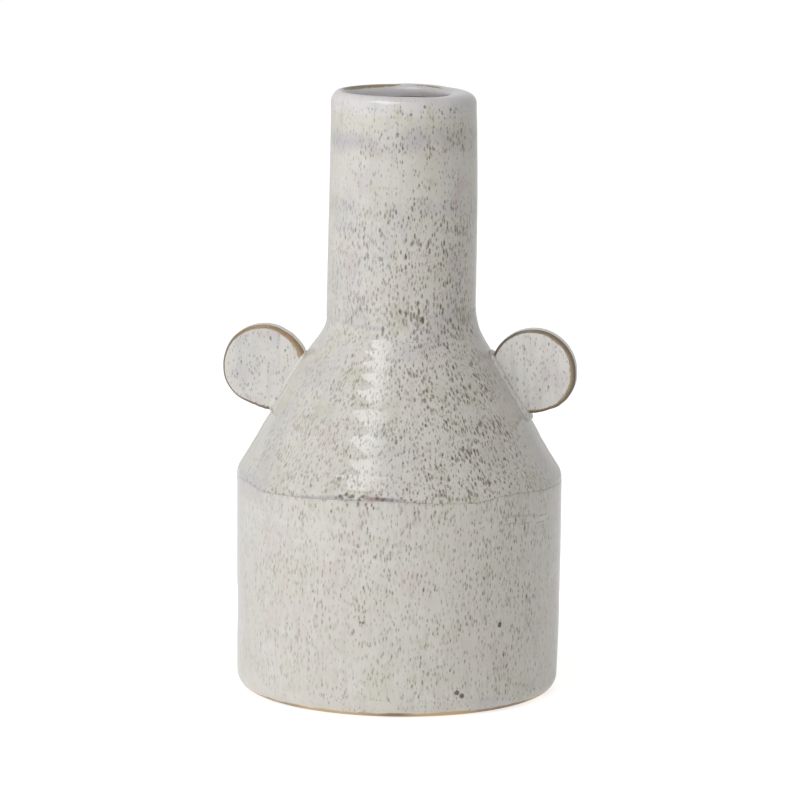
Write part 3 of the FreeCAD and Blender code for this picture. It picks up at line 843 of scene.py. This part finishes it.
# Coils pressed into the seams inside, over both pieces that they join
innerCoils = {"leg": 5, "floorRound": 4, "shoulderDepth": 3}
leg = innerCoils["leg"]
pieces["floor_seam_coil"] = turnedPiece("floorSeamCoil", {
    "corners": ((inside - leg, body["floorTop"], 0, 3), (*floorEdge, 0, 3),
                (inside, body["floorTop"] + leg, 0, 3),
                (inside - leg, body["floorTop"] + leg, innerCoils["floorRound"], 3)),
}, insideGlaze)
innerRise = body["neckSeamHeight"] - body["shoulderInnerEdge"]
coilTopRadius = inside - leg * (inside - body["neckInnerRadius"]) / innerRise
pieces["shoulder_seam_coil"] = turnedPiece("shoulderSeamCoil", {
    "corners": ((inside, body["seamHeight"] - leg, 0, 3), (*slopeIn, 0, 3),
                (coilTopRadius, body["shoulderInnerEdge"] + leg, 0, 3),
                (inside - innerCoils["shoulderDepth"], body["seamHeight"], 0, 3)),
}, insideGlaze)


neckCoil = {
    "leg": 5.02,         # up the neck and down the shoulder, just more than the hollow takes
    "hollow": 18.4,      # radius of its hollow face
    "bed": 2.0,          # how far it goes into the corner
    # angle, and width as a share
    "width": ((-180, 0.5), (-150, 0.5), (-110, 0.85), (-60, 1.1), (8, 1.15), (60, 1.1), (120, 0.9),
              (180, 0.5)),
}


seamRadius, seamLevel = neckSeam


def spreadNeckCoil(shape):
    # thin on the left, where the seam stays crisp, and broad on the right
    for dot in shape.verts:
        radius = math.hypot(dot.co.x, dot.co.y)
        share = along(neckCoil["width"], math.degrees(math.atan2(dot.co.y, dot.co.x)))
        moved = seamRadius + (radius - seamRadius) * share
        dot.co.z = seamLevel + (dot.co.z - seamLevel) * share
        dot.co.x *= moved / radius
        dot.co.y *= moved / radius


coilFoot = (seamRadius + neckCoil["leg"] * slopeDown.x, seamLevel + neckCoil["leg"] * slopeDown.z)
pieces["neck_seam_coil"] = turnedPiece("neckSeamCoil", {
    "flowRadius": neckLook["flowRadius"],
    "roundSteps": 10,
    "shaping": spreadNeckCoil,
    "corners": ((seamRadius - neckCoil["bed"], seamLevel, 0, 9), (*coilFoot, 0, 9),
                (*neckSeam, neckCoil["hollow"], 9), (seamRadius, seamLevel + neckCoil["leg"], 0, 9)),
}, neckGlaze)
print("turned pieces made")


# Ears: slab discs, each cut to the slope and set in a thin coil
ears = {
    "left": {
        "sign": -1, "centre": (57.13, 133.8), "radius": 17.1, "thickness": 7.6,
        # angle in the face and how far the outline stands out from the circle there
        "outline": ((-180, 0.0), (-156, 0.4), (-133, 0.35), (-114, 0.1), (-102, 0.35), (-93, 1.0), (-85, 1.7),
                    (-70, 3.2), (-40, 4.0), (0, 2.0), (20, 1.05), (45, 0.4), (60, 0.0), (180, 0.0)),
        # angle and width of the brown break
        "break": ((-180, 0.25), (-130, 0.2), (-108, 0.5), (-60, 0.75), (-10, 1.3), (20, 1.8), (50, 1.5),
                  (70, 1.1), (95, 1.0), (125, 0.85), (150, 0.4), (180, 0.25)),
    },
    "right": {
        "sign": 1, "centre": (55.58, 134.6), "radius": 17.9, "thickness": 7.6,
        "outline": ((-180, 0.0), (-110, 1.0), (-100, 0.1), (-90, -0.6), (-77, -0.8), (-67, -0.8), (-50, -0.1),
                    (-35, 0.25), (-15, 0.3), (5, 0.0), (180, 0.0)),
        "break": ((-180, 0.3), (-120, 0.9), (-90, 1.0), (-70, 0.7), (-50, 1.0), (-20, 1.6), (10, 1.7),
                  (35, 1.3), (60, 1.3), (80, 0.9), (100, 0.6), (130, 0.5), (160, 0.5), (180, 0.3)),
    },
}
earMake = {
    "round": 1.3,
    "roundSteps": 7,
    "steps": 192,
    "rimCuts": 4,
    "rings": (0.5,) * 9 + (1.4,) * 7,    # widths of the rings on a face, from its edge inwards
    "wobble": 0.12,
    "faceLumps": (9, 5),         # size of the lumps on the faces, and the two ears' own places in the noise
    "edgeLumps": (2.2, 3),       # the same for the outline, where the first number is how often they come
    "dish": 0.25,                # faces a little hollow
    "dishShare": 0.5,            # share of the radius where the hollow is full
    "outlineShare": 0.4,         # share of the radius from which the face follows its outline
    "skinDepth": 2.5,            # how far from the middle plane the faces' unevenness is full
    "rimHold": 3.0,              # how much faster the brown break ends on the rim than on the face
    "backBreak": 0.8,            # width of the break on the back, as a share
    "rootDepth": 1.4,            # how far the root goes into the shoulder
}


def earDisc(radius, thickness):
    # round slab with rounded edges, lying in the plane of the vase's axis
    shape = bmesh.new()
    bmesh.ops.create_circle(shape, cap_ends=True, radius=radius, segments=earMake["steps"],
                            matrix=Matrix.Rotation(math.pi / 2, 4, "X"))
    grown = bmesh.ops.extrude_face_region(shape, geom=shape.faces[:])
    back = [item for item in grown["geom"] if isinstance(item, bmesh.types.BMVert)]
    bmesh.ops.translate(shape, vec=(0, thickness / 2, 0), verts=back)
    for dot in shape.verts:
        dot.co.y = thickness / 2 if dot.co.y > thickness / 4 else -thickness / 2
    sideEdges = [edge for edge in shape.edges if abs(edge.verts[0].co.y - edge.verts[1].co.y) > 1]
    bmesh.ops.subdivide_edges(shape, edges=sideEdges, cuts=earMake["rimCuts"])
    rims = [edge for edge in shape.edges
            if all(abs(abs(dot.co.y) - thickness / 2) < 0.01 for dot in edge.verts)]
    bmesh.ops.bevel(shape, geom=rims, offset=earMake["round"], offset_type="OFFSET", profile=0.5,
                    segments=earMake["roundSteps"], affect="EDGES", clamp_overlap=True, material=-1)
    for cap in [face for face in shape.faces if len(face.verts) == earMake["steps"]]:
        for ring in earMake["rings"]:
            bmesh.ops.inset_region(shape, faces=[cap], thickness=ring, use_boundary=True,
                                   use_even_offset=True)
    bmesh.ops.recalc_face_normals(shape, faces=shape.faces[:])
    return shape


def atSide(sign, across, up):
    return Vector((sign * across, 0, up))


def addEar(side):
    settings = ears[side]
    sign, radius, thickness = settings["sign"], settings["radius"], settings["thickness"]
    shape = earDisc(radius, thickness)
    gap = shape.verts.layers.float.new("breakGap")
    width = shape.verts.layers.float.new("breakWidth")
    flow = shape.verts.layers.float_vector.new("flow")
    lumpSize, lumpPlace = earMake["faceLumps"]
    often, edgePlace = earMake["edgeLumps"]
    for dot in shape.verts:
        reach = math.hypot(dot.co.x, dot.co.z)
        angle = math.degrees(math.atan2(dot.co.z, dot.co.x))
        onFace = radius - earMake["round"] / 2 - reach
        onRim = thickness / 2 - earMake["round"] / 2 - abs(dot.co.y)
        dot[gap] = max(0, onFace) if onFace > onRim else max(0, onRim * earMake["rimHold"])
        dot[width] = along(settings["break"], angle) * (1 if dot.co.y < 0 else earMake["backBreak"])
        inner = 1 - between(radius * earMake["dishShare"], radius, reach)
        lump = noise.noise(Vector((dot.co.x / lumpSize, dot.co.y / lumpSize,
                                   dot.co.z / lumpSize + sign * lumpPlace)))
        swing = Vector((math.cos(math.radians(angle)), math.sin(math.radians(angle)), 0))
        edge = roundNoise(swing, often, sign * edgePlace)
        face = 1 if dot.co.y > 0 else -1
        uneven = earMake["wobble"] * lump - earMake["dish"] * inner
        dot.co.y += face * uneven * between(0, earMake["skinDepth"], abs(dot.co.y))
        outward = earMake["wobble"] * (edge - 1) + along(settings["outline"], angle)
        shrink = 1 + outward * between(radius * earMake["outlineShare"], radius, reach) / radius
        dot.co.x *= shrink
        dot.co.z *= shrink
    bmesh.ops.translate(shape, vec=atSide(sign, *settings["centre"]), verts=shape.verts[:])
    for dot in shape.verts:
        dot[flow] = dot.co.copy()
    out = atSide(sign, slopeOut.x, slopeOut.z)
    root = atSide(sign, *neckSeam) - out * earMake["rootDepth"]
    bmesh.ops.bisect_plane(shape, geom=shape.verts[:] + shape.edges[:] + shape.faces[:], dist=0.001,
                           plane_co=root, plane_no=out, clear_inner=True)
    bmesh.ops.holes_fill(shape, edges=[edge for edge in shape.edges if edge.is_boundary], sides=0)
    bmesh.ops.recalc_face_normals(shape, faces=shape.faces[:])
    return newPiece(side + "Ear", shape, earGlazes[side], smoothAngle=40)


earCoil = {
    "width": 2.1,
    "height": 1.0,
    "around": 20,            # steps round the coil
    "steps": 22,             # on each straight side and each end
    "reachShare": 0.98,      # its length, as a share of the disc's root
    "pastRoot": 0.6,
    "gap": 0.3,              # between the disc and the middle of the coil
    "lift": 0.1,
    "lowEnd": 1.0,           # how much fuller the lower end is
    "lowReach": 1.2,         # and how much further it goes
    "lumps": (3, 9, 0.25, 0.05),     # size, the coils' own places in the noise, how they raise and widen it
    "noBreak": 9.0,          # so far from an edge that no brown shows
}


def addEarCoil(side):
    settings = ears[side]
    sign = settings["sign"]
    down = atSide(sign, slopeDown.x, slopeDown.z)
    out = atSide(sign, slopeOut.x, slopeOut.z)
    seam = atSide(sign, *neckSeam)
    centre = atSide(sign, *settings["centre"]) - seam
    drop, stand = centre.dot(down), centre.dot(out)
    half = settings["thickness"] / 2 + earCoil["gap"]
    halfRoot = math.sqrt(settings["radius"] ** 2 - stand ** 2)
    reach = halfRoot * earCoil["reachShare"] - half + earCoil["pastRoot"]
    shape = bmesh.new()
    bmesh.ops.create_circle(shape, radius=1, segments=earCoil["around"],
                            matrix=Matrix.Rotation(math.pi / 2, 4, "Y"))
    bmesh.ops.scale(shape, vec=(1, earCoil["width"], earCoil["height"]), verts=shape.verts[:])
    bmesh.ops.translate(shape, vec=(-reach, -half, 0), verts=shape.verts[:])
    last = shape.verts[:] + shape.edges[:]
    # along one side of the disc, round its lower end, back on the other side and round its upper end
    for centreX, turn, step in ((0, 0, 1), (reach, math.pi, 0), (0, 0, -1), (-reach, math.pi, 0)):
        swept = bmesh.ops.spin(shape, geom=last, cent=(centreX, 0, 0), axis=(0, 0, 1), angle=turn,
                               steps=earCoil["steps"], dvec=(step * 2 * reach / earCoil["steps"], 0, 0),
                               use_merge=False, use_duplicate=False)
        last = swept["geom_last"]
    bmesh.ops.remove_doubles(shape, verts=shape.verts[:], dist=0.01)
    bmesh.ops.recalc_face_normals(shape, faces=shape.faces[:])
    gap = shape.verts.layers.float.new("breakGap")
    width = shape.verts.layers.float.new("breakWidth")
    flow = shape.verts.layers.float_vector.new("flow")
    size, place, raising, widening = earCoil["lumps"]
    for dot in shape.verts:
        lump = noise.noise(Vector((dot.co.x / size, dot.co.y / size, sign * place)))
        low = between(0.5 * reach, reach + half, dot.co.x)
        lift = dot.co.z * (1 + raising * lump + earCoil["lowEnd"] * low) + earCoil["lift"]
        across = dot.co.y * (1 + widening * lump)
        foot = seam + down * (drop + dot.co.x + earCoil["lowReach"] * low)
        bend = across * across / (2 * abs(foot.x))
        dot.co = foot + Vector((0, across, 0)) + out * (lift - bend)
        dot[flow] = dot.co.copy()
        dot[gap] = earCoil["noBreak"]
        dot[width] = 1
    return newPiece(side + "EarCoil", shape, earGlazes[side], smoothAngle=60)


for side in ears:
    pieces[side + "_ear"] = addEar(side)
    pieces[side + "_ear_coil"] = addEarCoil(side)
for node, piece in pieces.items():
    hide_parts(node)
print("ears made")


# Floor and lights
studio = {
    "floorSize": 30.0,     # metres, as the other lengths here
    "floorTone": "#E2E2E2",
    "floorGlow": 0.41,     # added for the camera, so that the backdrop is white
    "floorBounce": 0.34,   # what the floor gives the vase from below
    "skyShine": 0.75,      # the sky as reflections show it
    "skyGlow": 0.33,       # what lights the vase from all round
    # lower right corner of a lamp as the vase sees it: degrees right of the camera and up, then distance,
    # tilt, width, height, radiance and whether reflections show it
    "lamps": {
        "overheadBox": (-24, 41, 1.6, 27, 1.1, 0.9, 2.8, True),
        "leftPanel": (-28, -3, 1.8, 0, 1.4, 1.4, 2.95, False),
    },
    "lampTone": "#F6F9FF",
    "lampFall": (0.45, 1.3, 0.24),   # brightness at a lamp's right edge, further in, and from how far in
    "target": (0, 0, 0.13),
}


def addFloor():
    shape = bmesh.new()
    bmesh.ops.create_grid(shape, x_segments=1, y_segments=1, size=studio["floorSize"] / 2)
    mesh = bpy.data.meshes.new("floor")
    shape.to_mesh(mesh)
    shape.free()
    material, tree = newMaterial("paleFloor")
    path = addNode(tree, "LightPath")
    strength = addNode(tree, "Math", {0: path.outputs["Is Camera Ray"], 1: studio["floorGlow"],
                                      2: studio["floorBounce"]}, operation="MULTIPLY_ADD")
    glow = addNode(tree, "Emission", {"Color": (1, 1, 1, 1), "Strength": strength})
    matt = addNode(tree, "BsdfDiffuse", {"Color": colour(studio["floorTone"])})
    both = addNode(tree, "AddShader", {0: glow, 1: matt})
    addNode(tree, "OutputMaterial", {"Surface": both})
    mesh.materials.append(material)
    floor = bpy.data.objects.new("floor", mesh)
    bpy.context.scene.collection.objects.link(floor)


def addSky():
    world = bpy.data.worlds.new("studio")
    world.use_nodes = True
    bpy.context.scene.world = world
    tree = world.node_tree
    tree.nodes.clear()
    path = addNode(tree, "LightPath")
    mirrored = addNode(tree, "Math", {0: path.outputs["Is Glossy Ray"],
                                      1: path.outputs["Is Transmission Ray"]}, operation="MAXIMUM")
    strength = addNode(tree, "MapRange", {"Value": mirrored, "To Min": studio["skyGlow"],
                                          "To Max": studio["skyShine"]})
    strength = addNode(tree, "Math", {0: strength, 1: path.outputs["Is Camera Ray"]}, operation="MAXIMUM")
    glow = addNode(tree, "Background", {"Color": (1, 1, 1, 1), "Strength": strength})
    addNode(tree, "OutputWorld", {"Surface": glow})


def addLampFall(lamp):
    # the lamp is dimmer towards its right edge, which softens that side of its reflection
    weak, strong, reach = studio["lampFall"]
    lamp.use_nodes = True
    tree = lamp.node_tree
    tree.nodes.clear()
    spot = addNode(tree, "NewGeometry").outputs["Parametric"]
    across = addNode(tree, "SeparateXYZ", {0: spot}).outputs["X"]
    fall = addNode(tree, "MapRange", {"Value": across, "From Min": 1.0, "From Max": 1.0 - reach,
                                      "To Min": weak, "To Max": strong}, interpolation_type="SMOOTHSTEP")
    glow = addNode(tree, "Emission", {"Strength": fall})
    addNode(tree, "OutputLight", {"Surface": glow})


def addLamp(name, side, up, distance, tilt, width, height, radiance, mirrored):
    lamp = bpy.data.lights.new(name, "AREA")
    lamp.shape = "RECTANGLE"
    lamp.size, lamp.size_y = width, height
    lamp.energy = radiance * math.pi * width * height
    lamp.color = colour(studio["lampTone"])[:3]
    if mirrored:
        addLampFall(lamp)
    turn = math.radians(photoCamera["side"] - 90 + side)
    rise = math.radians(up)
    lean = math.radians(tilt)
    away = Vector((math.cos(rise) * math.cos(turn), math.cos(rise) * math.sin(turn), math.sin(rise)))
    right = Vector((-math.sin(turn), math.cos(turn), 0))
    upward = away.cross(right)
    across = right * math.cos(lean) - upward * math.sin(lean)
    rising = away.cross(across)
    place = Vector(studio["target"]) + away * distance - across * width / 2 + rising * height / 2
    holder = bpy.data.objects.new(name, lamp)
    holder.matrix_world = Matrix.Translation(place) @ Matrix((across, rising, away)).transposed().to_4x4()
    holder.visible_glossy = mirrored
    bpy.context.scene.collection.objects.link(holder)


addFloor()
addSky()
for name, settings in studio["lamps"].items():
    addLamp(name, *settings)
print("studio lit")
